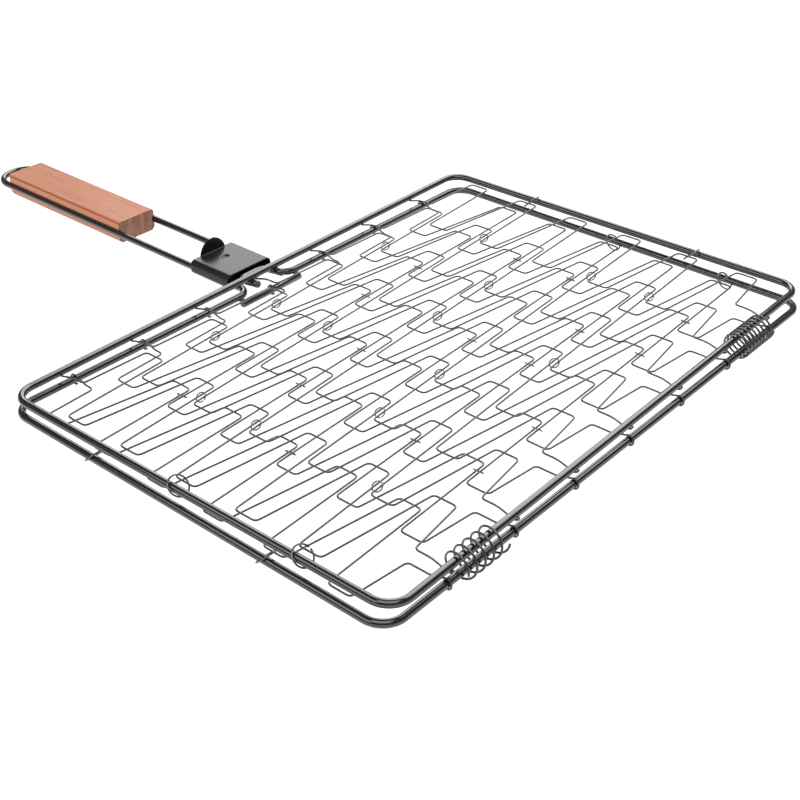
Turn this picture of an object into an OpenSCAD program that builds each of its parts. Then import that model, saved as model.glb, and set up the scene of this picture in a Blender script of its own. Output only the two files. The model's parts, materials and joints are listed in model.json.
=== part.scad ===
// Flexible grill basket: two hinged wire frames with zigzag meshes,
// a sliding sleeve latch and a wooden grip on a looped wire handle.
// Millimetres. +Z up, handle towards -X, hinge side towards +X.

/* [Frames] */
// Width of both frames across the handle, between wire centres
frame_w = 340; // [280:5:400]
// Depth of both frames from handle side to hinge side, between wire centres
frame_l = 236.3; // [200:0.1:280]
// Diameter of the frame, handle and catch wire
wire_d = 4; // [3:0.5:5]
// Corner radius of both frames at the wire centre
corner_r = 11; // [8:1:16]
// Height of the lid's wire centre above the lower frame's
frame_gap = 7.4; // [7:0.1:12]
// How far the loosely hinged lid sits towards the handle
lid_back = 2.1; // [0:0.1:2.5]
// How far the loosely hinged lid sits to one side
lid_side = 2.6; // [0:0.1:3]
// How far the loosely hinged lid is turned out of square, in degrees
lid_yaw = 0.7; // [0:0.1:0.8]

/* [Handle] */
// Distance between the two handle rails, between wire centres
rail_gap = 27.5; // [24:0.5:32]
// Bend radius where the frame turns out into a handle rail
rail_bend_r = 7.5; // [6:0.5:10]
// Distance from the frames' middle to the far end of the hang loop
loop_x = 352.8; // [320:0.1:400]
// Length of the stiffening bar below the two bends
bar_len = 45; // [36:1:60]
// Length of the wooden grip
grip_len = 109; // [80:1:120]
// Width of the wooden grip
grip_w = 27; // [25:0.5:32]
// Height of the wooden grip
grip_h = 13.4; // [11:0.2:18]
// Distance from the grip's far end to the hang loop's wire centre
loop_gap = 14.5; // [8:0.1:20]
// Chamfer along the grip's top edges
grip_top_edge = 1.1; // [0.5:0.1:2]
// Chamfer along the grip's bottom edges
grip_low_edge = 2.0; // [0.5:0.1:3]

/* [Latch] */
// Length of the sliding sleeve along the handle
sleeve_len = 30; // [20:1:36]
// Inside width of the sleeve
sleeve_in_w = 32.2; // [32:0.1:36]
// Inside height of the sleeve
sleeve_in_h = 7; // [7:0.1:10]
// Thickness of the sleeve's sheet
sheet_t = 0.8; // [0.6:0.1:1.2]
// Distance from the frames' middle to the sleeve's mouth
mouth_x = 132.4; // [130:0.1:150]
// Radius of the round thumb tab
tab_r = 9.4; // [7:0.1:12]
// Height of the thumb tab's centre above the sleeve's top
tab_up = -1.6; // [-3:0.1:5]
// Angle by which the thumb tab leans towards the grip
tab_lean = 4; // [0:1:30]
// Distance between the legs of the catch, between wire centres
catch_gap = 18.4; // [14:0.2:20]
// Distance from the frames' middle to the inner ends of the catch
catch_in = 114.4; // [110:0.1:118]
// How far the catch sits to one side of the handle's middle
catch_side = -0.6; // [-1:0.1:1]
// Angle by which the catch dips towards the sleeve
catch_dip = 8; // [0:0.5:10]

/* [Meshes] */
// Diameter of the mesh wire
mesh_d = 1.0; // [0.8:0.1:2]
// Number of zigzag wires in each mesh
strands = 7; // [5:1:8]
// Distance between neighbouring zigzag wires
strand_step = 44.4; // [40:0.2:60]
// Half the width of one zigzag wire
swing = 30.9; // [24:0.1:31]
// Length of one full zigzag
zig_step = 36.8; // [34:0.1:40]
// Length of the short runs at each side of the zigzag
zig_run = 12.6; // [8:0.1:14]
// Bend radius of the zigzag
zig_r = 2.6; // [1.5:0.1:4]
// Distance from the frame's middle to the first short run of the lid's mesh
zig_top = 90.2; // [84:0.1:94]
// Distance from the frame's middle to the first short run of the lower mesh
zig_low = 88.2; // [84:0.1:94]

/* [Rings] */
// Inside radius of the small rings that tie neighbouring zigzags together
link_in_r = 2.2; // [2.1:0.1:5]
// Diameter of the small rings' wire
link_d = 0.7; // [0.6:0.1:1.4]
// Inside radius of the rings that tie the mesh to the frame sides
side_in_r = 4.6; // [4.6:0.1:7]
// Diameter of the side rings' wire
side_d = 0.9; // [0.8:0.1:1.6]
// Lean of the small rings from flat
link_lean = 38; // [30:1:60]
// Lean of the side rings from flat
side_lean = 44; // [40:1:60]

/* [Hinge springs] */
// Mean radius of the two coils that hold the frames together
coil_r = 7.05; // [7:0.05:10]
// Diameter of the coil wire
coil_d = 1.1; // [0.8:0.1:1.2]
// Length of one turn of the near coil, which is pulled apart
pitch_near = 5.5; // [4:0.1:6]
// Length of one turn of the far coil
pitch_far = 3.5; // [2.5:0.1:4]
// Turns of the coil at the near side
turns_near = 5; // [4:0.5:6]
// Turns of the coil at the far side
turns_far = 8; // [4:0.5:8]

/* [Hidden] */
$fn = 48;

wire_r = wire_d / 2;
mesh_r = mesh_d / 2;
half_l = frame_l / 2;
half_w = frame_w / 2;
rail_y = rail_gap / 2;
// the rings on the frame sides are centred this far inside the rail
side_in = 2.2;
coil_z = frame_gap / 2;
near_y = -127.6;
far_y = 100.8;
// the origin is below the middle of the whole basket, at the grip's underside
base_x = (loop_x + wire_r - coil_x(near_y, turns_near * pitch_near) - coil_r - coil_d / 2) / 2;
// the side rings stand proud of both frames
base_edge = half_w - side_in + side_in_r + side_d;
lid_edge = lid_side + (zig_top - zig_step) * sin(lid_yaw)
    + (half_w - side_in) * cos(lid_yaw) + side_in_r + side_d;
base_y = (base_edge - lid_edge) / 2;
base_z = grip_h / 2;
grip_far = -loop_x + loop_gap;
// hooks of the mesh wires run just clear of the wire they hold
hook_r = wire_r + mesh_r + 0.12;
bar_x = -half_l + 3.1;
bar_z = -3.2;
sleeve_z = (sleeve_in_h / 2) - wire_r - 0.35;
sleeve_r = 3.3;
catch_z = frame_gap - wire_d - 0.04;
// offset of the second short run of each zigzag from half way
slip_top = -2.6;
slip_low = 3.4;

// ---- placing ----
// x of the lid's hinge-side rail at y
function lid_rail_x(y) = half_l / cos(lid_yaw) - lid_back - (y - lid_side) * tan(lid_yaw);
// the coils are centred between the two hinge-side rails
function coil_x(y0, long) = (half_l + lid_rail_x(y0 + long / 2)) / 2;

module on_base() {
    translate([base_x, base_y, base_z])
        children();
}

module on_lid() {
    translate([base_x - lid_back, base_y + lid_side, base_z + frame_gap])
        rotate([0, 0, lid_yaw])
            children();
}

// ---- round wire from straight rods and true bends, in the XY plane ----
function unit(v) = v / norm(v);
function open_angle(a, b, c) = acos(max(-1, min(1, unit(a - b) * unit(c - b))));
function cut_len(a, b, c, r) = r / tan(open_angle(a, b, c) / 2);
function short_turn(a) = a > 180 ? a - 360 : a < -180 ? a + 360 : a;

module rod(a, b, d) {
    v = b - a;
    translate(a)
        rotate([0, acos(v[2] / norm(v)), atan2(v[1], v[0])])
            cylinder(h = norm(v), d = d);
}

module bend(a, b, c, r, d) {
    t = open_angle(a, b, c);
    s = b + unit(a - b) * cut_len(a, b, c, r);
    e = b + unit(c - b) * cut_len(a, b, c, r);
    m = b + unit(unit(a - b) + unit(c - b)) * r / sin(t / 2);
    a0 = atan2(s[1] - m[1], s[0] - m[0]);
    turn = short_turn(atan2(e[1] - m[1], e[0] - m[0]) - a0);
    translate([m[0], m[1], 0])
        rotate([0, 0, turn < 0 ? a0 + turn : a0])
            rotate_extrude(angle = abs(turn))
                translate([r, 0])
                    circle(d = d);
}

// closed wire through the corners p with bend radii r
module closed_wire(p, r, d) {
    n = len(p);
    for (i = [0:n - 1]) {
        a = p[(i + n - 1) % n];
        b = p[i];
        c = p[(i + 1) % n];
        e = p[(i + 2) % n];
        bend(a, b, c, r[i], d);
        s = b + unit(c - b) * cut_len(a, b, c, r[i]);
        f = c + unit(b - c) * cut_len(b, c, e, r[(i + 1) % n]);
        if (norm(f - s) > 0.01)
            rod([s[0], s[1], 0], [f[0], f[1], 0], d);
    }
}

// ---- thin wire swept along points ----
function corner_arc(a, b, c, r, m) =
    let (d = min(cut_len(a, b, c, r), 0.45 * norm(a - b), 0.45 * norm(c - b)))
    let (s = b + unit(a - b) * d, e = b + unit(c - b) * d)
    [for (k = [0:m]) let (q = k / m) (1 - q) * (1 - q) * s + 2 * q * (1 - q) * b + q * q * e];

function rounded(p, r, m) = [
    for (i = [1:len(p) - 2]) each corner_arc(p[i - 1], p[i], p[i + 1], r, m)
];

function tangent(p, i) =
    i == 0 ? unit(p[1] - p[0])
    : i == len(p) - 1 ? unit(p[i] - p[i - 1])
    : unit(unit(p[i + 1] - p[i]) + unit(p[i] - p[i - 1]));

function across(u, t) = unit(u - (u * t) * t);

module tube(p, r, n, u0) {
    t = [for (i = [0:len(p) - 1]) tangent(p, i)];
    m = len(p);
    d = [for (i = 0, u = across(u0, t[0]); i < m; u = i + 1 < m ? across(u, t[i + 1]) : u, i = i + 1) u];
    pts = [
        for (i = [0:m - 1]) for (j = [0:n - 1])
            p[i] + r * (cos(360 * j / n) * d[i] + sin(360 * j / n) * cross(t[i], d[i]))
    ];
    sides = [
        for (i = [0:m - 2]) for (j = [0:n - 1])
            [i * n + j, (i + 1) * n + j, (i + 1) * n + (j + 1) % n, i * n + (j + 1) % n]
    ];
    start = [for (j = [0:n - 1]) j];
    stop = [for (j = [0:n - 1]) m * n - 1 - j];
    polyhedron(points = pts, faces = concat([start], sides, [stop]), convexity = 10);
}

// ---- mesh wires ----
// hook under a rail at x, z: s is +1 at the hinge side, -1 at the handle side
function hook_under(x, y, z, s) = [
    for (a = [-122, -90, -58, -26, -4]) [x + s * hook_r * cos(a), y, z + hook_r * sin(a)]
];
// wrap over a rail and back below it
function hook_over(x, y, z, s) = [
    for (a = [122, 92, 62, 32, 2, -28, -58, -88, -118, -140])
        [x + s * hook_r * cos(a), y, z + hook_r * sin(a)]
];
function back(p) = [for (i = [len(p) - 1:-1:0]) p[i]];

// corners of one zigzag: x0 is the middle of the first short run, f its side
function zig(x0, slip, f) = [
    for (k = [0:10])
        let (x = x0 - k * zig_step / 2 + (k % 2 == 1 ? slip : 0))
        let (y = k % 2 == 0 ? f * swing : -f * swing)
        for (e = [1, -1]) [x + e * zig_run / 2, y, 0]
];

module lid_strand(k) {
    y0 = (k - 4) * strand_step;
    yh = y0 - 2.4;
    ye = y0 - 8;
    corners = concat(
        [[half_l - 9, yh, 0], [zig_top + 10.5, yh, 0]],
        [for (q = zig(zig_top, slip_top, 1)) q + [0, y0, 0]],
        [[zig_top - 5 * zig_step - 7.6, ye, 0], [9 - half_l, ye, 0]]
    );
    p = concat(
        back(hook_under(half_l, yh, 0, 1)),
        [[half_l - 8, yh, -0.3], [half_l - 11, yh, 0]],
        rounded(corners, zig_r, 2),
        [[11 - half_l, ye, 0], [8 - half_l, ye, -0.3]],
        hook_under(-half_l, ye, 0, -1)
    );
    on_lid()
        tube(p, mesh_r, 6, [0, 1, 0]);
}

module base_strand(k) {
    y0 = (k - 4) * strand_step;
    hx = k == 4 ? bar_x : -half_l;
    hz = k == 4 ? bar_z : 0;
    corners = concat(
        [[half_l - 9, y0, 0], [zig_low + 9.5, y0, 0]],
        [for (q = zig(zig_low, slip_low, -1)) q + [0, y0, 0]],
        [[zig_low - 5 * zig_step - 8.0, y0, 0], [hx + 7, y0, 0]]
    );
    p = concat(
        back(hook_over(half_l, y0, 0, 1)),
        [[half_l - 5, y0, 1.3], [half_l - 9, y0, 0]],
        rounded(corners, zig_r, 2),
        k == 4 ? [[hx + 6, y0, 0]] : [[hx + 9, y0, 0], [hx + 5, y0, 1.3]],
        hook_over(hx, y0, hz, -1)
    );
    on_base()
        tube(p, mesh_r, 6, [0, 1, 0]);
}

// ---- rings ----
// ring of inside radius r round wires that run along Y
module ring_on_y(x, y, r, d, lean) {
    translate([x, y, 0])
        rotate([lean, 0, 0])
            rotate_extrude()
                translate([r + d / 2, 0])
                    circle(d = d, $fn = 24);
}

// ring round wires that run along X
module ring_on_x(x, y, r, d, lean) {
    translate([x, y, 0])
        rotate([0, lean, 0])
            rotate_extrude()
                translate([r + d / 2, 0])
                    circle(d = d, $fn = 24);
}

// ---- pieces ----
module lower_frame() {
    color("#1b1b1c")
        on_base()
            closed_wire(
                [
                    [half_l, half_w], [-half_l, half_w],
                    [-half_l, rail_y], [-loop_x, rail_y],
                    [-loop_x, -rail_y], [-half_l, -rail_y],
                    [-half_l, -half_w], [half_l, -half_w]
                ],
                [
                    corner_r, corner_r, rail_bend_r, rail_y,
                    rail_y, rail_bend_r, corner_r, corner_r
                ],
                wire_d
            );
}

module upper_frame() {
    color("#202021")
        on_lid()
            closed_wire(
                [
                    [half_l, half_w], [-half_l, half_w],
                    [-half_l, -half_w], [half_l, -half_w]
                ],
                [corner_r, corner_r, corner_r, corner_r],
                wire_d
            );
}

module bridge_bar() {
    color("#2a2a2b")
        on_base() {
            translate([bar_x, -bar_len / 2, bar_z])
                rotate([-90, 0, 0])
                    cylinder(h = bar_len, d = wire_d);
            // weld beads that join the bar to the frame
            for (s = [-1, 1])
                translate([bar_x - 1.55, s * (bar_len / 2 - 1.2), bar_z / 2])
                    sphere(r = 1.25, $fn = 24);
        }
}

module catch_loop() {
    // measured from the weld below the lid's rail, along the dipped legs
    weld_x = -half_l - lid_back;
    x1 = (-mouth_x + 0.5 + wire_r - weld_x) / cos(catch_dip);
    x2 = -catch_in - weld_x;
    y1 = catch_gap / 2;
    r = 5;
    color("#262627")
        translate([base_x + weld_x, base_y + catch_side, base_z + catch_z])
            rotate([0, -catch_dip, 0]) {
                rod([x1 + r, y1, 0], [x2, y1, 0], wire_d);
                rod([x1 + r, -y1, 0], [x2, -y1, 0], wire_d);
                rod([x1, -y1 + r, 0], [x1, y1 - r, 0], wire_d);
                bend([x2, y1], [x1, y1], [x1, 0], r, wire_d);
                bend([x2, -y1], [x1, -y1], [x1, 0], r, wire_d);
            }
}

// outline of the sleeve: w wide, h high, corner radius r
function arc_pts(cx, cy, r, a) = [
    for (k = [0:6]) [cx + r * cos(a + 15 * k), cy + r * sin(a + 15 * k)]
];
function round_box(w, h, r) = concat(
    arc_pts(w / 2 - r, h / 2 - r, r, 0),
    arc_pts(-w / 2 + r, h / 2 - r, r, 90),
    arc_pts(-w / 2 + r, -h / 2 + r, r, 180),
    arc_pts(w / 2 - r, -h / 2 + r, r, 270)
);

module latch_sleeve() {
    out_w = sleeve_in_w + 2 * sheet_t;
    out_h = sleeve_in_h + 2 * sheet_t;
    back_x = -mouth_x - sleeve_len;
    top = sleeve_z + out_h / 2;
    chord = sqrt(tab_r * tab_r - tab_up * tab_up);
    color("#303030")
        on_base() {
            difference() {
                translate([back_x, 0, sleeve_z])
                    rotate([90, 0, 90])
                        linear_extrude(height = sleeve_len)
                            polygon(round_box(out_w, out_h, sleeve_r));
                translate([back_x - 1, 0, sleeve_z])
                    rotate([90, 0, 90])
                        linear_extrude(height = sleeve_len + 2)
                            polygon(round_box(sleeve_in_w, sleeve_in_h, sleeve_r - sheet_t));
                // pressed stop mark in the top plate
                translate([back_x + 10.6, 0, top + 3.3])
                    sphere(r = 3.9, $fn = 36);
            }
            // thumb tab, a disc cut along its bend
            translate([back_x + sheet_t / 2, 0, top - sheet_t / 2])
                rotate([0, -tab_lean, 0])
                    difference() {
                        translate([-sheet_t / 2, 0, tab_up + sheet_t / 2])
                            rotate([0, 90, 0])
                                cylinder(h = sheet_t, r = tab_r, $fn = 64);
                        translate([-3, -tab_r - 1, -2 * tab_r])
                            cube([6, 2 * tab_r + 2, 2 * tab_r]);
                    }
            // rounded root of the tab
            translate([back_x + sheet_t / 2, -chord + 0.15, top - sheet_t / 2])
                rotate([-90, 0, 0])
                    cylinder(h = 2 * chord - 0.3, r = sheet_t * 0.56, $fn = 24);
        }
}

module wood_grip() {
    w = grip_w / 2;
    h = grip_h / 2;
    t = grip_top_edge;
    b = grip_low_edge;
    r = 3.2;
    color("#c98a68")
        on_base()
            difference() {
                intersection() {
                    translate([grip_far, 0, 0])
                        rotate([90, 0, 90])
                            linear_extrude(height = grip_len)
                                polygon([
                                    [-w, -h + b], [-w + b, -h], [w - b, -h], [w, -h + b],
                                    [w, h - t], [w - t, h], [-w + t, h], [-w, h - t]
                                ]);
                    translate([grip_far, 0, -h - 1])
                        linear_extrude(height = grip_h + 2)
                            polygon(concat(
                                [[grip_len, -w - 1], [grip_len, w + 1], [r + 3, w + 1]],
                                [[r + 3, w]],
                                [for (k = [0:4]) [r - r * sin(22.5 * k), w - r + r * cos(22.5 * k)]],
                                [for (k = [4:-1:0]) [r - r * sin(22.5 * k), -w + r - r * cos(22.5 * k)]],
                                [[r + 3, -w], [r + 3, -w - 1]]
                            ));
                }
                // side grooves that hold the rails, wider where the loop begins
                for (s = [-1, 1]) {
                    translate([grip_far - 1, s * rail_y, 0])
                        rotate([0, 90, 0])
                            cylinder(h = grip_len + 2, r = wire_r + 0.06);
                    translate([grip_far - 1, s * (rail_y - 0.3), 0])
                        rotate([0, 90, 0])
                            cylinder(h = 5.5, r = wire_r + 0.35);
                }
            }
}

module lower_strand_1() {
    color("#4a4844")
        base_strand(1);
}

module lower_strand_2() {
    color("#4a4844")
        base_strand(2);
}

module lower_strand_3() {
    color("#4a4844")
        base_strand(3);
}

module lower_strand_4() {
    color("#4a4844")
        base_strand(4);
}

module lower_strand_5() {
    color("#4a4844")
        base_strand(5);
}

module lower_strand_6() {
    color("#4a4844")
        base_strand(6);
}

module lower_strand_7() {
    color("#4a4844")
        base_strand(7);
}

module upper_strand_1() {
    color("#55534f")
        lid_strand(1);
}

module upper_strand_2() {
    color("#55534f")
        lid_strand(2);
}

module upper_strand_3() {
    color("#55534f")
        lid_strand(3);
}

module upper_strand_4() {
    color("#55534f")
        lid_strand(4);
}

module upper_strand_5() {
    color("#55534f")
        lid_strand(5);
}

module upper_strand_6() {
    color("#55534f")
        lid_strand(6);
}

module upper_strand_7() {
    color("#55534f")
        lid_strand(7);
}

// x where two neighbouring lid wires run side by side, below short run k
function top_pair_x(k) = zig_top - (2 * k + 1) * zig_step / 2 + slip_top - zig_run / 2 - 1.4;
function low_pair_x(k) = zig_low - (2 * k + 1) * zig_step / 2 + slip_low + zig_run / 2 + 1.2;

module upper_link_rings() {
    color("#6b6b6b")
        on_lid()
            for (g = [1:strands - 1]) for (k = [0:4])
                if ((2 * g + k) % 5 != 1 && (g + k) % 3 != 2)
                    ring_on_y(top_pair_x(k), (g - 3) * strand_step - swing + 6.5, link_in_r, link_d, link_lean);
}

module lower_link_rings() {
    color("#5d5d5d")
        on_base()
            for (g = [1:strands - 1]) for (k = [0:4])
                if ((2 * g + k) % 5 != 3 && (g + k) % 3 != 1)
                    ring_on_y(low_pair_x(k), (g - 4) * strand_step + swing - 6.5, link_in_r, link_d, -link_lean);
}

module upper_side_rings() {
    color("#6b6b6b")
        on_lid() {
            for (k = [1, 3])
                ring_on_x(
                    zig_top - k * zig_step + zig_step / 2 + slip_top, -half_w + side_in,
                    side_in_r, side_d, side_lean
                );
            for (k = [1, 4])
                ring_on_x(zig_top - k * zig_step, half_w - side_in, side_in_r, side_d, -side_lean);
        }
}

module lower_side_rings() {
    color("#5d5d5d")
        on_base() {
            for (k = [1, 4])
                ring_on_x(zig_low - k * zig_step, -half_w + side_in, side_in_r, side_d, -side_lean);
            for (k = [1, 3])
                ring_on_x(
                    zig_low - k * zig_step + zig_step / 2 + slip_low, half_w - side_in,
                    side_in_r, side_d, side_lean
                );
        }
}

// coil round both hinge-side rails, from y0
module coil(y0, turns, pitch) {
    n = 14;
    mid_x = coil_x(y0, turns * pitch);
    p = [
        for (k = [0:turns * n])
            let (a = 360 * k / n)
            [mid_x + coil_r * cos(a), y0 + pitch * k / n, coil_z + coil_r * sin(a)]
    ];
    on_base()
        tube(p, coil_d / 2, 6, [1, 0, 0]);
}

module hinge_spring_near() {
    color("#3a3a3a")
        coil(near_y, turns_near, pitch_near);
}

module hinge_spring_far() {
    color("#3a3a3a")
        coil(far_y, turns_far, pitch_far);
}

lower_frame();
bridge_bar();
wood_grip();
latch_sleeve();
upper_frame();
catch_loop();
lower_strand_1();
lower_strand_2();
lower_strand_3();
lower_strand_4();
lower_strand_5();
lower_strand_6();
lower_strand_7();
upper_strand_1();
upper_strand_2();
upper_strand_3();
upper_strand_4();
upper_strand_5();
upper_strand_6();
upper_strand_7();
lower_link_rings();
upper_link_rings();
lower_side_rings();
upper_side_rings();
hinge_spring_near();
hinge_spring_far();
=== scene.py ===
"""Looks of a hinged wire grill basket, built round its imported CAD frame.

Metres, in the CAD part's own frame: +Z up, grip towards -X, hinge side towards +X.
The frame wires, zigzag meshes, rings and coils are swept round wires; the sleeve latch and
the wooden grip are lofted meshes. Each piece stands for the CAD node it is named after.
"""
import json
import math

import bpy
from mathutils import Matrix, Vector, noise


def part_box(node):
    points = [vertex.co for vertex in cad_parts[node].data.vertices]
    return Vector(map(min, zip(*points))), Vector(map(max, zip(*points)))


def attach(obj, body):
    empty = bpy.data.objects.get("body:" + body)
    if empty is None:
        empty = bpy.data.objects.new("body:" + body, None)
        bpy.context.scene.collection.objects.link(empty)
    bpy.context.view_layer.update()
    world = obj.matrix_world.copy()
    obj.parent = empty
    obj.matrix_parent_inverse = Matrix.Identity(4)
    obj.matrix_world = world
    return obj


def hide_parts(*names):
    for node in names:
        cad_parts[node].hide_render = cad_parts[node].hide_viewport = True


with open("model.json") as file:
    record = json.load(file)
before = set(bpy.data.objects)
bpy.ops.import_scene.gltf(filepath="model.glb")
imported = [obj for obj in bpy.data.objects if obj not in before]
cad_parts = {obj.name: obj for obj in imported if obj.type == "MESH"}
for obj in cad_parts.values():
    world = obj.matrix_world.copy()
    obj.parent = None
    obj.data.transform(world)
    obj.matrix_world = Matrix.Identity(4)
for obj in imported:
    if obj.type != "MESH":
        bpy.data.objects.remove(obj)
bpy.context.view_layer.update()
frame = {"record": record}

MM = 0.001

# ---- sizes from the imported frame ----
base_low, base_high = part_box("lower_frame")
base_mid = (base_low + base_high) / 2
joints = frame["record"]["behaviour"]["joints"]
hinge = next(joint for joint in joints if joint["name"] == "lid_hinge")
LID_YAW = math.atan2(-hinge["axis"][0], hinge["axis"][1])
LID_TURN = Matrix.Rotation(LID_YAW, 3, "Z")
# half the basket's short side, which the handle hides in the frame's box
HALF_L = 118.15 * MM
WIRE_R = (base_high.z - base_low.z) / 2
HALF_W = (base_high.y - base_low.y) / 2 - WIRE_R
BASE = Vector((base_high.x - WIRE_R - HALF_L, base_mid.y, base_mid.z))
LID = Vector(hinge["pos_m"]) - LID_TURN @ Vector((HALF_L, 0, 0))
LOOP_X = BASE.x - base_low.x - WIRE_R

# ---- sizes of the wires, repeated from the CAD part; x and z are from the frames' middles ----
CORNER_R = 11 * MM
# handle rails: half their spacing, and their bend out of the frame
RAIL_Y = 13.75 * MM
RAIL_BEND_R = 7.5 * MM
# the bar under the handle's bends, and the catch loop's bends and droop
BAR_X = -HALF_L + 3.1 * MM
BAR_Z = -3.2 * MM
CATCH_R = 5 * MM
CATCH_DIP = math.radians(8)
# mesh wires: radius, turn round a rail, number, step from one to the next and half a swing
MESH_R = 0.5 * MM
HOOK_R = WIRE_R + MESH_R + 0.12 * MM
STRANDS = 7
MIDDLE_STRAND = (STRANDS + 1) // 2
STRAND_STEP = 44.4 * MM
SWING = 30.9 * MM
# zigzags: bends, step between bends on one side, short run, bend radius, and x of the first
# bend; every second bend is set off by the slip
BENDS = 11
ZIG_STEP = 36.8 * MM
ZIG_SPAN = (BENDS - 1) // 2 * ZIG_STEP
ZIG_RUN = 12.6 * MM
ZIG_R = 2.6 * MM
ZIG_TOP = 90.2 * MM
ZIG_LOW = 88.2 * MM
SLIP_TOP = -2.6 * MM
SLIP_LOW = 3.4 * MM
# rings that link the zigzags, and rings at the side rails; they lean from flat, in degrees
RING_R = 2.55 * MM
RING_WIRE_R = 0.35 * MM
LINK_LEAN = 38
SIDE_RING_R = 5.05 * MM
SIDE_RING_WIRE_R = 0.45 * MM
SIDE_RING_IN = 2.2 * MM
SIDE_LEAN = 44
COIL_WIRE_R = 0.55 * MM
SHEET = 0.8 * MM

# ---- how finely the wires are drawn; a hook's step is in degrees ----
FRAME_SIDES = 32
THIN_SIDES = 12
ARC_STEPS = 14
BEND_STEPS = 6
HOOK_STEP = 9
TURN_STEPS = 30


# ---------------------------------------------------------------- meshes
def tangents_of(points, closed):
    """Direction of the wire at each point."""
    steps = [(b - a).normalized() for a, b in zip(points, points[1:] + points[:1])]
    last = len(points) - 1
    out = []
    for i in range(len(points)):
        ahead = steps[i] if closed or i < last else steps[i - 1]
        behind = steps[i - 1] if closed or i > 0 else steps[0]
        out.append((ahead + behind).normalized())
    return out


# a cut end's eased edge and flat face, in wire radii
EASE = 0.3
CUT_FACE = 0.72


def wire(points, radius, sides, closed=False):
    """A round wire along points: (vertices, faces). Open ends are cut square, edges eased."""
    points = [Vector(p) for p in points]
    widths = [radius] * len(points)
    if not closed:
        ease = radius * EASE
        first = points[0] + (points[1] - points[0]).normalized() * ease
        final = points[-1] + (points[-2] - points[-1]).normalized() * ease
        points = [points[0], first] + points[1:-1] + [final, points[-1]]
        widths = [radius * CUT_FACE, radius] + widths[1:-1] + [radius, radius * CUT_FACE]
    tangents = tangents_of(points, closed)
    across = tangents[0].orthogonal().normalized()
    verts = []
    for point, tangent, width in zip(points, tangents, widths):
        across = (across - across.dot(tangent) * tangent).normalized()
        up = tangent.cross(across)
        for k in range(sides):
            angle = 2 * math.pi * k / sides
            verts.append(point + width * (math.cos(angle) * across + math.sin(angle) * up))
    faces = []
    rows = len(points)
    for i in range(rows if closed else rows - 1):
        low, high = i * sides, (i + 1) % rows * sides
        for k in range(sides):
            near = (k + 1) % sides
            faces.append((low + k, low + near, high + near, high + k))
    if not closed:
        faces.append(tuple(range(sides - 1, -1, -1)))
        faces.append(tuple((rows - 1) * sides + k for k in range(sides)))
    return verts, faces


def fillet(a, b, c, radius, steps=ARC_STEPS):
    """Points of the arc that rounds corner b between a and c."""
    u = (a - b).normalized()
    v = (c - b).normalized()
    half = u.angle(v) / 2
    centre = b + (u + v).normalized() * (radius / math.sin(half))
    start = b + u * (radius / math.tan(half)) - centre
    stop = b + v * (radius / math.tan(half)) - centre
    return [centre + radius * start.slerp(stop, k / steps) for k in range(steps + 1)]


# points closer than this are one point
SAME_POINT = 0.01 * MM


def closed_path(corners, radii):
    """Closed route through flat corners, each rounded by its radius."""
    corners = [Vector((x, y, 0)) for x, y in corners]
    out = []
    for i, radius in enumerate(radii):
        arc = fillet(corners[i - 1], corners[i], corners[(i + 1) % len(corners)], radius)
        if out and (arc[0] - out[-1]).length < SAME_POINT:
            arc = arc[1:]
        out += arc
    return out


# most of a straight run that one bend takes up
BEND_SHARE = 0.45


def soft_corner(a, b, c, radius, steps):
    """Points of the springy bend at corner b, as a mesh wire takes it."""
    u = (a - b).normalized()
    v = (c - b).normalized()
    cut = radius / math.tan(u.angle(v) / 2)
    cut = min(cut, BEND_SHARE * (a - b).length, BEND_SHARE * (c - b).length)
    start, stop = b + u * cut, b + v * cut
    out = []
    for k in range(steps + 1):
        q = k / steps
        out.append((1 - q) ** 2 * start + 2 * q * (1 - q) * b + q * q * stop)
    return out


# weld beads: rows, columns, height and closeness of the lumps, and step from seed to seed
BEAD_ROWS = 10
BEAD_COLUMNS = 16
LUMP = 0.16
LUMP_SCALE = 1.7
LUMP_STRIDE = (7.3, 3.1, 0)


def bead(centre, radii, seed):
    """A small lumpy weld bead: (vertices, faces)."""
    rows, columns = BEAD_ROWS, BEAD_COLUMNS
    verts = []
    for i in range(1, rows):
        polar = math.pi * i / rows
        for k in range(columns):
            turn = 2 * math.pi * k / columns
            flat = math.sin(polar)
            ray = Vector((flat * math.cos(turn), flat * math.sin(turn), math.cos(polar)))
            lump = 1 + LUMP * noise.noise(ray * LUMP_SCALE + seed * Vector(LUMP_STRIDE))
            verts.append(centre + Vector(r * c * lump for r, c in zip(radii, ray)))
    top, bottom = len(verts), len(verts) + 1
    verts += [centre + Vector((0, 0, radii[2])), centre - Vector((0, 0, radii[2]))]
    faces = []
    for k in range(columns):
        near = (k + 1) % columns
        faces.append((top, k, near))
        faces.append((bottom, (rows - 2) * columns + near, (rows - 2) * columns + k))
        for i in range(rows - 2):
            a, b = i * columns, (i + 1) * columns
            faces.append((a + k, b + k, b + near, a + near))
    return verts, faces


def piece(name, shells, material, body, node):
    """One visible piece made of closed shells, in place of a CAD node."""
    verts, faces = [], []
    for shell_verts, shell_faces in shells:
        start = len(verts)
        verts += shell_verts
        faces += [tuple(start + i for i in face) for face in shell_faces]
    mesh = bpy.data.meshes.new(name)
    mesh.from_pydata(verts, [], faces)
    mesh.validate()
    mesh.materials.append(material)
    # only the flat caps have more than four corners
    for face in mesh.polygons:
        face.use_smooth = len(face.vertices) <= 4
    obj = bpy.data.objects.new(name, mesh)
    bpy.context.scene.collection.objects.link(obj)
    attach(obj, body)
    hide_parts(node)
    return obj


# ---------------------------------------------------------------- materials
# the colour sockets of a Mix node: factor, first and second going in, and the result
MIX_IN = (0, 6, 7)
MIX_OUT = 2


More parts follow.
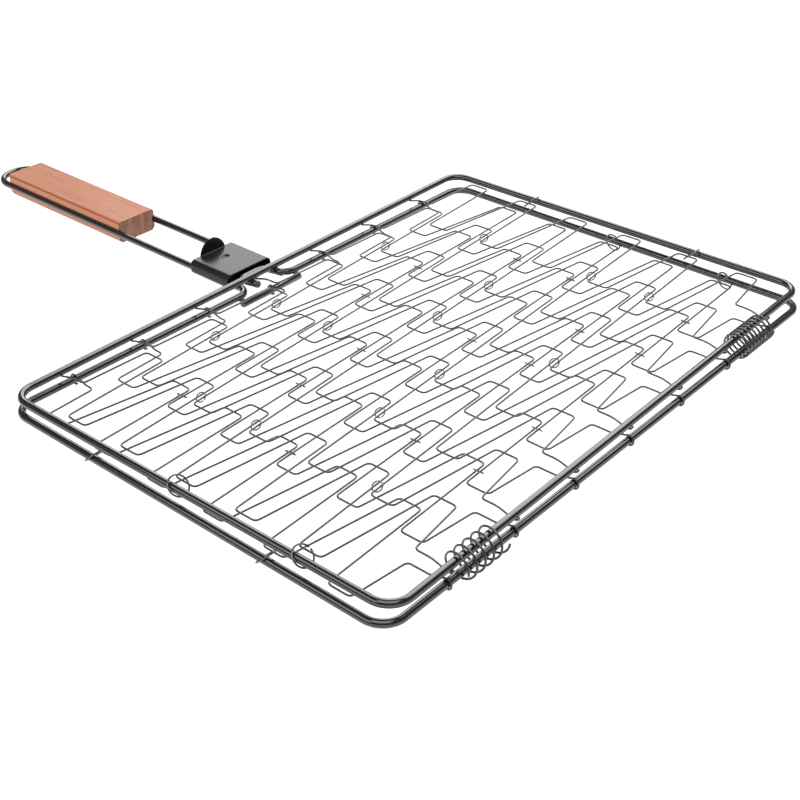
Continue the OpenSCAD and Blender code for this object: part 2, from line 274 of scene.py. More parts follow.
class Shader:
    """A Principled material whose nodes read the piece's own coordinates, in metres."""

    def __init__(self, name, **values):
        self.material = bpy.data.materials.new(name)
        self.material.use_nodes = True
        self.tree = self.material.node_tree
        self.shader = self.tree.nodes["Principled BSDF"]
        for socket, value in values.items():
            self.shader.inputs[socket.replace("_", " ")].default_value = value
        self.place = self.tree.nodes.new("ShaderNodeTexCoord")

    def link(self, out, target):
        self.tree.links.new(out, target)

    def scaled(self, scale):
        """The piece's coordinates, stretched by scale."""
        mapping = self.tree.nodes.new("ShaderNodeMapping")
        mapping.inputs["Scale"].default_value = scale
        self.link(self.place.outputs["Object"], mapping.inputs["Vector"])
        return mapping.outputs["Vector"]

    def noise(self, scale, detail=4.0, rough=0.55, twist=0.0):
        """Noise over the stretched coordinates."""
        node = self.tree.nodes.new("ShaderNodeTexNoise")
        node.inputs["Scale"].default_value = 1.0
        node.inputs["Detail"].default_value = detail
        node.inputs["Roughness"].default_value = rough
        node.inputs["Distortion"].default_value = twist
        self.link(self.scaled(scale), node.inputs["Vector"])
        return node.outputs["Fac"]

    def ramp(self, source, *stops):
        """Colours along source: (position, colour) stops."""
        node = self.tree.nodes.new("ShaderNodeValToRGB")
        points = node.color_ramp.elements
        while len(points) < len(stops):
            points.new(0.5)
        for point, (position, colour) in zip(points, stops):
            point.position = position
            point.color = (*colour, 1)
        self.link(source, node.inputs["Fac"])
        return node.outputs["Color"]

    def span(self, source, low, high, start=0.3, stop=0.7):
        """Source from start to stop, turned into low to high."""
        node = self.tree.nodes.new("ShaderNodeMapRange")
        ends = {"From Min": start, "From Max": stop, "To Min": low, "To Max": high}
        for socket, value in ends.items():
            node.inputs[socket].default_value = value
        self.link(source, node.inputs["Value"])
        return node.outputs["Result"]

    def mix(self, factor, first, second):
        """Second over first by factor, which is a node's output."""
        node = self.tree.nodes.new("ShaderNodeMix")
        node.data_type = "RGBA"
        for socket, value in zip(MIX_IN, (factor, first, second)):
            if isinstance(value, bpy.types.NodeSocket):
                self.link(value, node.inputs[socket])
            else:
                node.inputs[socket].default_value = (*value, 1)
        return node.outputs[MIX_OUT]

    def bump(self, height, strength, depth):
        """Relief of that depth, in metres."""
        node = self.tree.nodes.new("ShaderNodeBump")
        node.inputs["Strength"].default_value = strength
        node.inputs["Distance"].default_value = depth
        self.link(height, node.inputs["Height"])
        self.link(node.outputs["Normal"], self.shader.inputs["Normal"])

    def set(self, socket, source):
        self.link(source, self.shader.inputs[socket])


# how much paler than the pale tone a scuff is
SCUFF_GAIN = 1.8


def coated(name, dark, pale, sheen, **values):
    """Smooth coat over wire or sheet: slightly cloudy tone, faint scuffs and uneven gloss."""
    s = Shader(name, **values)
    cloud = s.noise((60, 60, 60), detail=5)
    tone = s.ramp(cloud, (0.3, dark), (0.72, pale))
    scuff = s.span(s.noise((210, 210, 900)), 0.0, 0.35, start=0.62, stop=0.8)
    s.set("Base Color", s.mix(scuff, tone, tuple(c * SCUFF_GAIN for c in pale)))
    s.set("Roughness", s.span(s.noise((120, 120, 120)), *sheen))
    return s.material


def grain_wood():
    """Oiled reddish hardwood: long fibres, fine pores, painted shade on the chamfers and painted
    light on the sides.
    """
    s = Shader("grip_wood", Specular_IOR_Level=0.35)
    bands = s.noise((7, 95, 150), detail=5, rough=0.6, twist=0.8)
    fibres = s.noise((38, 1500, 1500), detail=5, rough=0.7)
    pores = s.noise((150, 2600, 2600), detail=2, rough=0.5)
    tone = s.ramp(
        bands,
        (0.25, (0.36, 0.120, 0.056)),
        (0.50, (0.44, 0.158, 0.076)),
        (0.78, (0.52, 0.200, 0.104)),
    )
    tone = s.mix(s.span(fibres, 0.0, 0.55, start=0.42, stop=0.72), tone, (0.29, 0.098, 0.045))
    tone = s.mix(s.span(pores, 0.0, 0.6, start=0.6, stop=0.75), tone, (0.20, 0.07, 0.035))
    # painted shade darkens the chamfers and painted light makes the sides paler; both are told from
    # the top by how far their normals point up
    parts = s.tree.nodes.new("ShaderNodeSeparateXYZ")
    s.link(s.place.outputs["Normal"], parts.inputs[0])
    slope = s.tree.nodes.new("ShaderNodeMath")
    slope.operation = "ABSOLUTE"
    s.link(parts.outputs["Z"], slope.inputs[0])
    painted_chamfer_shade = s.span(slope.outputs[0], 0.0, 0.75, start=0.97, stop=0.8)
    side = s.span(slope.outputs[0], 0.0, 1.0, start=0.3, stop=0.05)
    # painted shade: the chamfers are made darker than the top
    tone = s.mix(painted_chamfer_shade, tone, (0.40, 0.12, 0.048))
    # painted light: the sides are made paler than the top
    tone = s.mix(side, tone, (0.57, 0.228, 0.124))
    s.set("Base Color", tone)
    s.set("Roughness", s.span(fibres, 0.38, 0.56))
    s.bump(fibres, 0.45, 0.06 * MM)
    return s.material


def end_grain():
    """Sawn end of the grip: growth rings seen end on, with dark open pores."""
    s = Shader("grip_end_grain", Specular_IOR_Level=0.25)
    rings = s.noise((1, 520, 70), detail=5, rough=0.65, twist=0.6)
    pores = s.noise((1, 2300, 2300), detail=2)
    tone = s.ramp(
        rings,
        (0.30, (0.17, 0.08, 0.052)),
        (0.52, (0.325, 0.162, 0.11)),
        (0.75, (0.46, 0.245, 0.168)),
    )
    tone = s.mix(s.span(pores, 0.0, 0.7, start=0.55, stop=0.7), tone, (0.07, 0.03, 0.02))
    s.set("Base Color", tone)
    s.set("Roughness", s.span(rings, 0.62, 0.8))
    s.bump(pores, 0.5, 0.08 * MM)
    return s.material


WARM_GLOSS = {"Specular_IOR_Level": 1.0, "Specular_Tint": (1.0, 0.96, 0.90, 1)}
ENAMEL = coated(
    "frame_enamel",
    dark=(0.0035, 0.0035, 0.004),
    pale=(0.007, 0.007, 0.0078),
    sheen=(0.11, 0.16),
    **WARM_GLOSS,
)
SLEEVE = coated(
    "sleeve_enamel",
    dark=(0.009, 0.009, 0.0092),
    pale=(0.014, 0.014, 0.0142),
    sheen=(0.24, 0.27),
    Specular_IOR_Level=0.25,
)
MESH = coated(
    "mesh_coating",
    dark=(0.010, 0.0095, 0.008),
    pale=(0.024, 0.022, 0.019),
    sheen=(0.24, 0.38),
    **WARM_GLOSS,
)
RING = coated(
    "ring_wire",
    dark=(0.10, 0.10, 0.10),
    pale=(0.22, 0.22, 0.215),
    sheen=(0.24, 0.36),
    Metallic=0.8,
)
COIL = coated(
    "coil_wire",
    dark=(0.010, 0.010, 0.010),
    pale=(0.020, 0.019, 0.018),
    sheen=(0.18, 0.28),
    **WARM_GLOSS,
)
WOOD = grain_wood()
END_GRAIN = end_grain()


# ---------------------------------------------------------------- frames and catch
def on_base(points):
    """Points given from the lower frame's middle, in place."""
    return [BASE + p for p in points]


def on_lid(points):
    """Points given from the lid's middle, in place: the lid sits slightly out of square."""
    return [LID + LID_TURN @ p for p in points]


def lower_frame():
    half = [
        ((HALF_L, HALF_W), CORNER_R),
        ((-HALF_L, HALF_W), CORNER_R),
        ((-HALF_L, RAIL_Y), RAIL_BEND_R),
        ((-LOOP_X, RAIL_Y), RAIL_Y),
    ]
    corners = [corner for corner, _ in half] + [(x, -y) for (x, y), _ in reversed(half)]
    radii = [radius for _, radius in half] + [radius for _, radius in reversed(half)]
    shell = wire(on_base(closed_path(corners, radii)), WIRE_R, FRAME_SIDES, closed=True)
    piece("lower_frame_wire", [shell], ENAMEL, "base", "lower_frame")


def upper_frame():
    corners = [(HALF_L, HALF_W), (-HALF_L, HALF_W), (-HALF_L, -HALF_W), (HALF_L, -HALF_W)]
    shell = wire(on_lid(closed_path(corners, [CORNER_R] * 4)), WIRE_R, FRAME_SIDES, closed=True)
    piece("upper_frame_wire", [shell], ENAMEL, "lid", "upper_frame")


# weld beads: half sizes, and how far each lies from the wires' crossing
BAR_BEAD = (1.5 * MM, 1.7 * MM, 1.2 * MM)
BAR_BEAD_BACK = 1.6 * MM
BAR_BEAD_IN = 1.4 * MM
CATCH_BEAD = (1.2 * MM, 1.3 * MM, 0.7 * MM)
CATCH_BEAD_OUT = 1.0 * MM
CATCH_BEAD_DOWN = 0.1 * MM


def bridge_bar():
    low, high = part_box("bridge_bar")
    ends = [Vector((BAR_X, y - BASE.y, BAR_Z)) for y in (low.y, high.y)]
    shells = [wire(on_base(ends), WIRE_R, FRAME_SIDES)]
    for side in (-1, 1):
        y = side * (ends[1].y - BAR_BEAD_IN)
        middle = BASE + Vector((BAR_X - BAR_BEAD_BACK, y, BAR_Z / 2))
        shells.append(bead(middle, BAR_BEAD, side))
    piece("bridge_bar_rod", shells, ENAMEL, "base", "bridge_bar")


def catch_loop():
    low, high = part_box("catch_loop")
    y_low, y_high = low.y + WIRE_R, high.y - WIRE_R
    x_out, z_out = low.x + WIRE_R, low.z + WIRE_R
    x_in = high.x - WIRE_R * math.sin(CATCH_DIP)
    z_in = high.z - WIRE_R * math.cos(CATCH_DIP)
    ends = [Vector((x_in, y, z_in)) for y in (y_low, y_high)]
    bends = [Vector((x_out, y, z_out)) for y in (y_low, y_high)]
    route = [ends[0]] + fillet(ends[0], bends[0], bends[1], CATCH_R)
    route += fillet(bends[0], bends[1], ends[1], CATCH_R) + [ends[1]]
    shells = [wire(route, WIRE_R, FRAME_SIDES)]
    # weld beads where the legs cross below the lid's rail
    rail_x = (LID - LID_TURN @ Vector((HALF_L, 0, 0))).x
    seam_z = LID.z - WIRE_R - CATCH_BEAD_DOWN
    for i, y in enumerate((y_low, y_high)):
        for j, side in enumerate((-1, 1)):
            middle = Vector((rail_x + side * CATCH_BEAD_OUT, y, seam_z))
            shells.append(bead(middle, CATCH_BEAD, 2 * i + j))
    piece("catch_loop_wire", shells, ENAMEL, "lid", "catch_loop")


# ---------------------------------------------------------------- zigzag meshes
# where a mesh wire's turn round a rail starts and ends, in degrees from straight outwards
LID_HOOK = (-4, -122)
BASE_HOOK = (-140, 122)
# hooks' tails: from the rail's middle to where a tail is its height off level, and to level
LID_TAIL = (8 * MM, 11 * MM)
LID_TAIL_Z = -0.3 * MM
BASE_TAIL = (5 * MM, 9 * MM)
BASE_TAIL_Z = 1.3 * MM
BAR_TAIL = 6 * MM
# from the first and last bend to the leads' bends, at the hinge end and at the handle end
LID_LEADS = (10.5 * MM, 7.6 * MM)
BASE_LEADS = (9.5 * MM, 8 * MM)
# a point that each lead heads for, from the rail's middle
STRAIGHT_FROM = 9 * MM
STRAIGHT_TO = 7 * MM
# how far a lid wire is hooked from its zigzag's middle line, at the hinge and at the handle
LID_SHIFTS = (-2.4 * MM, -8 * MM)


def hook(x, y, z, side, start, stop):
    """Turn of a mesh wire round a rail at x, z."""
    count = max(4, round(abs(stop - start) / HOOK_STEP))
    out = []
    for k in range(count + 1):
        angle = math.radians(start + (stop - start) * k / count)
        out.append(Vector((x + side * HOOK_R * math.cos(angle), y, z + HOOK_R * math.sin(angle))))
    return out


def zigzag(first, y0, slip, facing):
    """Corners of one zigzag; first is the middle of its first short run."""
    out = []
    for k in range(BENDS):
        x = first - k * ZIG_STEP / 2 + (slip if k % 2 else 0)
        y = y0 + (-facing if k % 2 else facing) * SWING
        out += [Vector((x + ZIG_RUN / 2, y, 0)), Vector((x - ZIG_RUN / 2, y, 0))]
    return out


def bent(corners):
    """Route with a springy bend at each inner corner."""
    out = []
    for a, b, c in zip(corners, corners[1:], corners[2:]):
        out += soft_corner(a, b, c, ZIG_R, BEND_STEPS)
    return out


def lid_strand(number):
    y0 = (number - MIDDLE_STRAND) * STRAND_STEP
    y_hinge, y_handle = (y0 + shift for shift in LID_SHIFTS)
    dip, level = LID_TAIL
    corners = [Vector((HALF_L - STRAIGHT_FROM, y_hinge, 0))]
    corners += [Vector((ZIG_TOP + LID_LEADS[0], y_hinge, 0))]
    corners += zigzag(ZIG_TOP, y0, SLIP_TOP, 1)
    corners += [Vector((ZIG_TOP - ZIG_SPAN - LID_LEADS[1], y_handle, 0))]
    corners += [Vector((STRAIGHT_FROM - HALF_L, y_handle, 0))]
    route = hook(HALF_L, y_hinge, 0, 1, *LID_HOOK)
    route += [Vector((HALF_L - dip, y_hinge, LID_TAIL_Z)), Vector((HALF_L - level, y_hinge, 0))]
    route += bent(corners)
    route += [Vector((level - HALF_L, y_handle, 0)), Vector((dip - HALF_L, y_handle, LID_TAIL_Z))]
    route += hook(-HALF_L, y_handle, 0, -1, *reversed(LID_HOOK))
    name = f"upper_strand_{number}"
    shells = [wire(on_lid(route), MESH_R, THIN_SIDES)]
    piece(name + "_wire", shells, MESH, "lid", name)


def base_strand(number):
    y0 = (number - MIDDLE_STRAND) * STRAND_STEP
    # the middle wire's handle end is hooked on the bar, not on the frame
    on_bar = number == MIDDLE_STRAND
    x_end = BAR_X if on_bar else -HALF_L
    z_end = BAR_Z if on_bar else 0
    rise, level = BASE_TAIL
    corners = [Vector((HALF_L - STRAIGHT_FROM, y0, 0))]
    corners += [Vector((ZIG_LOW + BASE_LEADS[0], y0, 0))]
    corners += zigzag(ZIG_LOW, y0, SLIP_LOW, -1)
    corners += [Vector((ZIG_LOW - ZIG_SPAN - BASE_LEADS[1], y0, 0))]
    corners += [Vector((x_end + STRAIGHT_TO, y0, 0))]
    route = hook(HALF_L, y0, 0, 1, *BASE_HOOK)
    route += [Vector((HALF_L - rise, y0, BASE_TAIL_Z)), Vector((HALF_L - level, y0, 0))]
    route += bent(corners)
    if on_bar:
        route += [Vector((x_end + BAR_TAIL, y0, 0))]
    else:
        route += [Vector((x_end + level, y0, 0)), Vector((x_end + rise, y0, BASE_TAIL_Z))]
    route += hook(x_end, y0, z_end, -1, *reversed(BASE_HOOK))
    name = f"lower_strand_{number}"
    shells = [wire(on_base(route), MESH_R, THIN_SIDES)]
    piece(name + "_wire", shells, MESH, "base", name)


# ---------------------------------------------------------------- rings and coils
RING_GAP = math.radians(7)
RING_STEPS = 40
RING_COLUMNS = 5
# from a bend to its link ring's middle: past the short run's end, and in from the bend
LINK_PAST_TOP = 1.4 * MM
LINK_PAST_LOW = 1.2 * MM
LINK_IN = 6.5 * MM


def ring(middle, radius, lean, axis, seam):
    """Route of a split ring, leaning from flat about an axis, with its seam at an angle."""
    tilt = Matrix.Rotation(math.radians(lean), 3, axis)
    route = []
    for k in range(RING_STEPS + 1):
        angle = seam + RING_GAP / 2 + (2 * math.pi - RING_GAP) * k / RING_STEPS
        spoke = Vector((radius * math.cos(angle), radius * math.sin(angle), 0))
        route.append(middle + tilt @ spoke)
    return route


def ring_piece(name, upper, routes, thick):
    """All rings of one kind on the lid or on the base; thick is their wire's radius."""
    place = on_lid if upper else on_base
    shells = [wire(place(route), thick, THIN_SIDES) for route in routes]
    piece(name + "_wire", shells, RING, "lid" if upper else "base", name)


def link_rings(upper):
    """Small rings that tie neighbouring zigzags together, on about half of the bends.

    Which bends have none, and where each seam is, vary without a visible pattern.
    """
    routes = []
    for gap in range(1, STRANDS):
        for k in range(RING_COLUMNS):
            if upper:
                skip = (2 * gap + k) % 5 == 1 or (gap + k) % 3 == 2
                bend = ZIG_TOP - (2 * k + 1) * ZIG_STEP / 2 + SLIP_TOP
                x = bend - ZIG_RUN / 2 - LINK_PAST_TOP
                y = (gap + 1 - MIDDLE_STRAND) * STRAND_STEP - SWING + LINK_IN
            else:
                skip = (2 * gap + k) % 5 == 3 or (gap + k) % 3 == 1
                bend = ZIG_LOW - (2 * k + 1) * ZIG_STEP / 2 + SLIP_LOW
                x = bend + ZIG_RUN / 2 + LINK_PAST_LOW
                y = (gap - MIDDLE_STRAND) * STRAND_STEP + SWING - LINK_IN
            if not skip:
                lean = LINK_LEAN if upper else -LINK_LEAN
                seam = 2.1 * gap + 1.3 * k
                routes.append(ring(Vector((x, y, 0)), RING_R, lean, "X", seam))
    ring_piece("upper_link_rings" if upper else "lower_link_rings", upper, routes, RING_WIRE_R)


def side_rings(upper):
    """Rings that tie the zigzags' outer bends to the frames' side rails."""
    first, slip = (ZIG_TOP, SLIP_TOP) if upper else (ZIG_LOW, SLIP_LOW)
    edge = HALF_W - SIDE_RING_IN
    side = -1 if upper else 1
    routes = []
    for k in (1, 3):
        middle = Vector((first - k * ZIG_STEP + ZIG_STEP / 2 + slip, side * edge, 0))
        routes.append(ring(middle, SIDE_RING_R, SIDE_LEAN, "Y", 0.8 + k))
    for k in (1, 4):
        middle = Vector((first - k * ZIG_STEP, -side * edge, 0))
        routes.append(ring(middle, SIDE_RING_R, -SIDE_LEAN, "Y", 2.4 + k))
    ring_piece("upper_side_rings" if upper else "lower_side_rings", upper, routes, SIDE_RING_WIRE_R)


def coil(name, turns):
    """Wire coil wound round both hinge-side rails."""
    low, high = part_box(name)
    centre_x, centre_z = (low.x + high.x) / 2, (low.z + high.z) / 2
    radius = (high.x - low.x) / 2 - COIL_WIRE_R
    pitch = (high.y - low.y - 2 * COIL_WIRE_R) / turns
    route = []
    for k in range(turns * TURN_STEPS + 1):
        angle = 2 * math.pi * k / TURN_STEPS
        x = centre_x + radius * math.cos(angle)
        y = low.y + COIL_WIRE_R + pitch * k / TURN_STEPS
        route.append(Vector((x, y, centre_z + radius * math.sin(angle))))
    shells = [wire(route, COIL_WIRE_R, THIN_SIDES)]
    piece(name + "_wire", shells, COIL, "base", name)


# ---------------------------------------------------------------- sleeve latch
SLEEVE_LEN = 30 * MM
SLEEVE_H = 8.6 * MM
SLEEVE_CORNER = 3.3 * MM
# the stop mark pressed into the top: distance from the back edge, depth, half its size
# across and along the sleeve, and how steeply its walls start
DIMPLE_BACK = 10.6 * MM
DIMPLE_DEEP = 0.75 * MM
DIMPLE_HALF = (2.9 * MM, 1.7 * MM)
DIMPLE_STEEP = 1.6
# the tube's sheared edges: how far both skins stop short, how far the outermost and
# innermost lines of the edge are eased back, and where its lines lie in the sheet
EDGE_SET = 0.22 * MM
EDGE_EASE = 0.07 * MM
EDGE_PARTS = (0.06, 0.25, 0.75, 0.94)
# a point this close to the flat top's height is on it
ON_TOP = 0.001 * MM
CORNER_STEPS = 8
TOP_STEPS = 48
LENGTH_STEPS = 56
# the thumb tab: radius, height of its circle's middle over the sheet's top, backward lean,
# bend at its root, and length of flat sheet before the bend
TAB_R = 9.4 * MM
TAB_UP = -1.6 * MM
TAB_LEAN = math.radians(4)
TAB_BEND_R = 1.1 * MM
TAB_ROOT = 1.2 * MM
# its eased rim, its blunt top, its least half width, and how far it stops below the circle
TAB_RIM = 0.16 * MM
TAB_TIP = 0.3 * MM
TAB_LEAST = 0.5 * MM
TAB_SHORT = 0.02 * MM
TAB_BEND_STEPS = 8
TAB_ROWS = 24
TAB_COLUMNS = 28


def sleeve_outline(half_w, half_h, corner):
    """Rounded box outline (y, z), finely divided along its top."""
    out = []
    for cy, cz, turn in ((1, 1, 0), (-1, 1, 90), (-1, -1, 180), (1, -1, 270)):
        for k in range(CORNER_STEPS + 1):
            angle = math.radians(turn + 90 * k / CORNER_STEPS)
            y = cy * (half_w - corner) + corner * math.cos(angle)
            z = cz * (half_h - corner) + corner * math.sin(angle)
            out.append((y, z))
        if turn == 0:
            flat = half_w - corner
            out += [(flat - 2 * flat * k / TOP_STEPS, half_h) for k in range(1, TOP_STEPS)]
    return out


def sleeve_shell(back, mouth, centre):
    """The folded sheet tube with its pressed stop mark and sheared edges: (vertices, faces)."""
    half_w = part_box("latch_sleeve")[1].y - centre.y
    half_h = SLEEVE_H / 2
    columns = [back + (mouth - back) * k / LENGTH_STEPS for k in range(LENGTH_STEPS + 1)]
    columns = [min(max(x, back + EDGE_SET), mouth - EDGE_SET) for x in columns]
    edge = [(EDGE_EASE if part in (EDGE_PARTS[0], EDGE_PARTS[-1]) else 0, SHEET * part)
            for part in EDGE_PARTS]

    def ring_at(x, inset):
        """Section of the skin that lies inset below the outside, with the dimple in its top."""
        outline = sleeve_outline(half_w - inset, half_h - inset, SLEEVE_CORNER - inset)
        row = []
        for y, z in outline:
            if z > half_h - inset - ON_TOP:
                u = (x - back - DIMPLE_BACK) / DIMPLE_HALF[1]
                v = y / DIMPLE_HALF[0]
                inside = max(0.0, 1 - math.sqrt(u * u + v * v))
                z -= DIMPLE_DEEP * (1 - (1 - min(1.0, DIMPLE_STEEP * inside)) ** 2)
            row.append(Vector((x, centre.y + y, centre.z + z)))
        return row

    # out along the outside, round the mouth's edge, back along the inside, round the back edge
    rings = [ring_at(x, 0) for x in columns]
    rings += [ring_at(mouth - ease, inset) for ease, inset in edge]
    rings += [ring_at(x, SHEET) for x in reversed(columns)]
    rings += [ring_at(back + ease, inset) for ease, inset in reversed(edge)]
    verts = [v for row in rings for v in row]
    size = len(rings[0])
    faces = []
    for i in range(len(rings)):
        low, high = i * size, (i + 1) % len(rings) * size
        for k in range(size):
            near = (k + 1) % size
            faces.append((low + k, high + k, high + near, low + near))
    return verts, faces


def tab_shell(back, top, centre_y):
    """The round thumb tab bent up from the top plate: (vertices, faces)."""
    mid = top - SHEET / 2
    turn = math.pi / 2 - TAB_LEAN
    route = [Vector((back + SHEET / 2 + TAB_BEND_R + TAB_ROOT, 0, mid))]
    for k in range(TAB_BEND_STEPS + 1):
        angle = turn * k / TAB_BEND_STEPS
        x = back + SHEET / 2 + TAB_BEND_R - TAB_BEND_R * math.sin(angle)
        z = mid + TAB_BEND_R * (1 - math.cos(angle))
        route.append(Vector((x, 0, z)))
    up = Vector((-math.sin(TAB_LEAN), 0, math.cos(TAB_LEAN)))
    foot = route[-1]
    reach = TAB_R + TAB_UP + SHEET / 2 - (foot.z - mid) - TAB_SHORT
    for k in range(1, TAB_ROWS + 1):
        route.append(foot + up * (reach * math.sin(math.pi / 2 * k / TAB_ROWS)))
    half_widths = []
    for point in route:
        height = max(0.0, (point.z - mid) / math.cos(TAB_LEAN) - TAB_UP - SHEET / 2)
        half = 0
        if height < TAB_R:
            half = math.sqrt(max(TAB_TIP * TAB_R * 2, TAB_R ** 2 - height ** 2))
        half_widths.append(max(half, TAB_LEAST))
    rows = []
    for point, tangent, half in zip(route, tangents_of(route, False), half_widths):
        normal = tangent.cross(Vector((0, 1, 0))).normalized()
        section = []
        for face in (1, -1):
            for k in range(TAB_COLUMNS + 1):
                y = face * half * (1 - 2 * k / TAB_COLUMNS)
                ease = TAB_RIM if k in (0, TAB_COLUMNS) else 0
                section.append(point + normal * face * (SHEET / 2 - ease) + Vector((0, y, 0)))
        rows.append(section)
    size = len(rows[0])
    verts = [v + Vector((0, centre_y, 0)) for section in rows for v in section]
    faces = []
    for i in range(len(rows) - 1):
        low, high = i * size, (i + 1) * size
        for k in range(size):
            near = (k + 1) % size
            faces.append((low + k, low + near, high + near, high + k))
    faces.append(tuple(range(size - 1, -1, -1)))
    faces.append(tuple((len(rows) - 1) * size + k for k in range(size)))
    return verts, faces


def latch_sleeve():
    low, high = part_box("latch_sleeve")
    mouth = high.x
    back = mouth - SLEEVE_LEN
    centre = Vector((0, (low.y + high.y) / 2, low.z + SLEEVE_H / 2))
    tab = tab_shell(back, centre.z + SLEEVE_H / 2, centre.y)
    shells = [sleeve_shell(back, mouth, centre), tab]
    piece("latch_sleeve_sheet", shells, SLEEVE, "latch", "latch_sleeve")


# ---------------------------------------------------------------- wooden grip
# chamfers of the long edges, rounding of the far end's corners, and the grooves' radius
TOP_EDGE = 1.1 * MM
LOW_EDGE = 2.0 * MM
END_CORNER = 3.2 * MM
GROOVE_R = WIRE_R + 0.06 * MM
GROOVE_STEPS = 12
END_STEPS = 8
LENGTHWISE_STEPS = 12
# width of the sanded edges, the angle from which an edge is sharp, and that to be sanded
EASED_EDGE = 0.3 * MM
SHARP = math.radians(25)
EASE_FROM = math.radians(30)


def grip_outline(half_w, half_h):
    """Outline (y, z) of the grip: chamfered edges, and a groove on each side for the rail."""
    side = [(half_w, -half_h + LOW_EDGE)]
    reach = math.acos((RAIL_Y - half_w) / GROOVE_R)
    for k in range(GROOVE_STEPS + 1):
        angle = -reach + 2 * reach * k / GROOVE_STEPS
        side.append((RAIL_Y - GROOVE_R * math.cos(angle), GROOVE_R * math.sin(angle)))
    side += [(half_w, half_h - TOP_EDGE), (half_w - TOP_EDGE, half_h)]
    right = [(half_w - LOW_EDGE, -half_h)] + side
    return right + [(-y, z) for y, z in reversed(right)]


def wood_grip():
    low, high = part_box("wood_grip")
    half_w, half_h = (high.y - low.y) / 2, (high.z - low.z) / 2
    centre = Vector((0, (low.y + high.y) / 2, (low.z + high.z) / 2))
    outline = grip_outline(half_w, half_h)
    # places along the grip, and how much of the far end's rounded corners each has behind it
    stations = []
    for k in range(END_STEPS + 1):
        part = k / END_STEPS
        stations.append((low.x + END_CORNER * (1 - math.cos(math.pi / 2 * part)), part))
    start = stations[-1][0]
    for k in range(1, LENGTHWISE_STEPS + 1):
        stations.append((start + (high.x - start) * k / LENGTHWISE_STEPS, 1.0))
    verts, faces = [], []
    for x, part in stations:
        limit = half_w - END_CORNER + END_CORNER * math.sin(math.pi / 2 * part)
        for y, z in outline:
            verts.append(Vector((x, centre.y + max(-limit, min(limit, y)), centre.z + z)))
    size = len(outline)
    for i in range(len(stations) - 1):
        a, b = i * size, (i + 1) * size
        for k in range(size):
            near = (k + 1) % size
            faces.append((a + k, a + near, b + near, b + k))
    faces.append(tuple(range(size - 1, -1, -1)))
    faces.append(tuple((len(stations) - 1) * size + k for k in range(size)))
    grip = piece("wood_grip_block", [(verts, faces)], WOOD, "base", "wood_grip")
    grip.data.materials.append(END_GRAIN)
    # the last two faces are the sawn ends
    for face in grip.data.polygons[-2:]:
        face.material_index = 1
    grip.data.set_sharp_from_angle(angle=SHARP)
    edges = grip.modifiers.new("eased edges", "BEVEL")
    edges.width = EASED_EDGE
    edges.segments = 2
    edges.limit_method = "ANGLE"
    edges.angle_limit = EASE_FROM
    edges.harden_normals = True


# ---------------------------------------------------------------- floor, light, camera
# what the lights are placed from
TARGET = Vector((LID.x, LID.y, 0))
WORLD_STRENGTH = 0.22
FLOOR_SIZE = 14
# the table is lit from below, as a shadowless product table is
FLOOR_GLOW = 0.98
# name, direction from the basket, distance, way its width runs, (width, height), radiance,
# colour; the back panel is what the long rails and the sleeve's top mirror to the camera
LIGHTS = [
    (
        "back_panel", (-0.29, 0.64, 0.71), 1.54,
        (0.71, 0, 0.29), (2.4, 1.0), 4.2, (0.97, 0.99, 1.0),
    ),
    (
        "overhead", (0.25, -0.35, 0.90), 1.6,
        (0.35, 0.25, 0), (1.2, 1.2), 2.6, (1.0, 0.98, 0.95),
    ),
    (
        "front_fill", (-0.30, -0.75, 0.58), 1.8,
        (0.75, -0.30, 0), (1.4, 0.8), 2.6, (1.0, 0.99, 0.97),
    ),
]

# metres, degrees and millimetres, fitted to the photograph's view
CAMERA_AT = Vector((0.49168, -0.46400, 0.36414))
CAMERA_AZIMUTH = 40.713
CAMERA_ELEVATION = 32.857
CAMERA_LENS = 61.52
CAMERA_SENSOR = 36
# metres; nearer things are not drawn
CAMERA_NEAR = 0.01


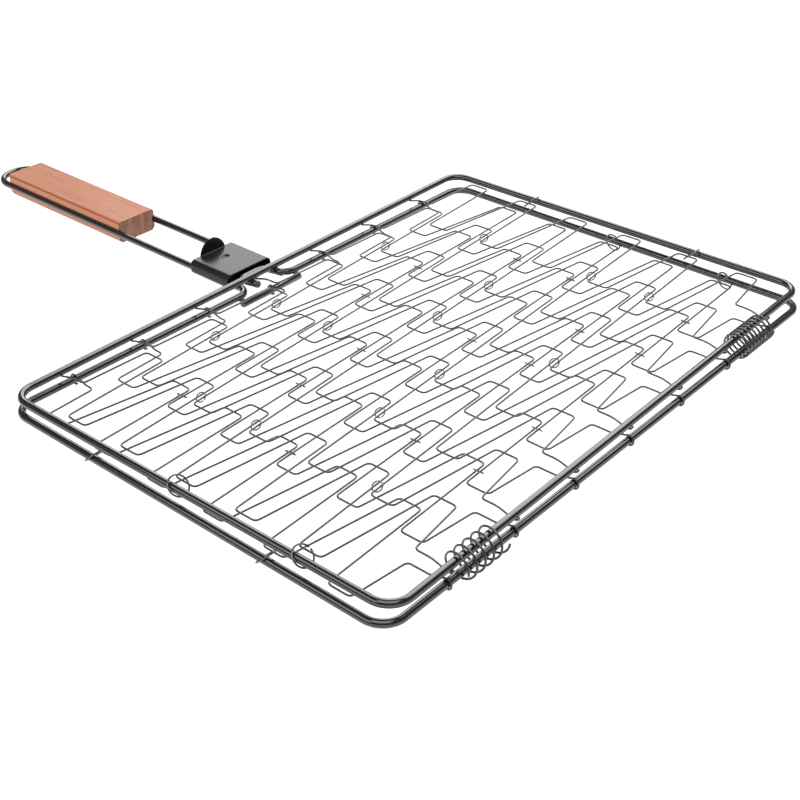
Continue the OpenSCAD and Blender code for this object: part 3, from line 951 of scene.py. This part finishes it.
def panel(name, towards, distance, along, size, radiance, colour):
    """A rectangular light that faces the basket, its width running along the given way."""
    direction = Vector(towards).normalized()
    across = Vector(along)
    across = (across - across.dot(direction) * direction).normalized()
    light = bpy.data.lights.new(name, "AREA")
    light.shape = "RECTANGLE"
    light.size, light.size_y = size
    light.energy = radiance * math.pi * size[0] * size[1]
    light.color = colour
    lamp = bpy.data.objects.new(name, light)
    lamp.location = TARGET + direction * distance
    turn = Matrix((across, direction.cross(across), direction)).transposed()
    lamp.rotation_euler = turn.to_euler()
    bpy.context.scene.collection.objects.link(lamp)


def studio():
    bpy.ops.mesh.primitive_plane_add(size=FLOOR_SIZE, location=(0, 0, 0))
    floor = bpy.context.object
    floor.name = "floor"
    glow = {"Emission_Color": (1, 1, 1, 1), "Emission_Strength": FLOOR_GLOW}
    s = Shader("pale_floor", Roughness=0.9, **glow)
    cloud = s.noise((0.8, 0.8, 0.8))
    s.set("Base Color", s.ramp(cloud, (0.3, (0.27, 0.27, 0.27)), (0.7, (0.29, 0.29, 0.29))))
    floor.data.materials.append(s.material)

    world = bpy.data.worlds.new("studio")
    bpy.context.scene.world = world
    world.use_nodes = True
    sky = world.node_tree.nodes["Background"]
    sky.inputs["Color"].default_value = (1, 1, 1, 1)
    sky.inputs["Strength"].default_value = WORLD_STRENGTH
    for light in LIGHTS:
        panel(*light)


def camera():
    data = bpy.data.cameras.new("camera")
    data.lens = CAMERA_LENS
    data.sensor_width = CAMERA_SENSOR
    data.clip_start = CAMERA_NEAR
    eye = bpy.data.objects.new("camera", data)
    eye.location = CAMERA_AT
    tilt = math.radians(90 - CAMERA_ELEVATION)
    eye.rotation_euler = (tilt, 0, math.radians(CAMERA_AZIMUTH))
    bpy.context.scene.collection.objects.link(eye)
    bpy.context.scene.camera = eye
    bpy.context.scene.view_settings.view_transform = "Standard"


camera()
studio()
lower_frame()
upper_frame()
bridge_bar()
catch_loop()
for strand in range(1, STRANDS + 1):
    base_strand(strand)
    lid_strand(strand)
for on_top in (False, True):
    link_rings(on_top)
    side_rings(on_top)
coil("hinge_spring_near", turns=5)
coil("hinge_spring_far", turns=8)
latch_sleeve()
wood_grip()
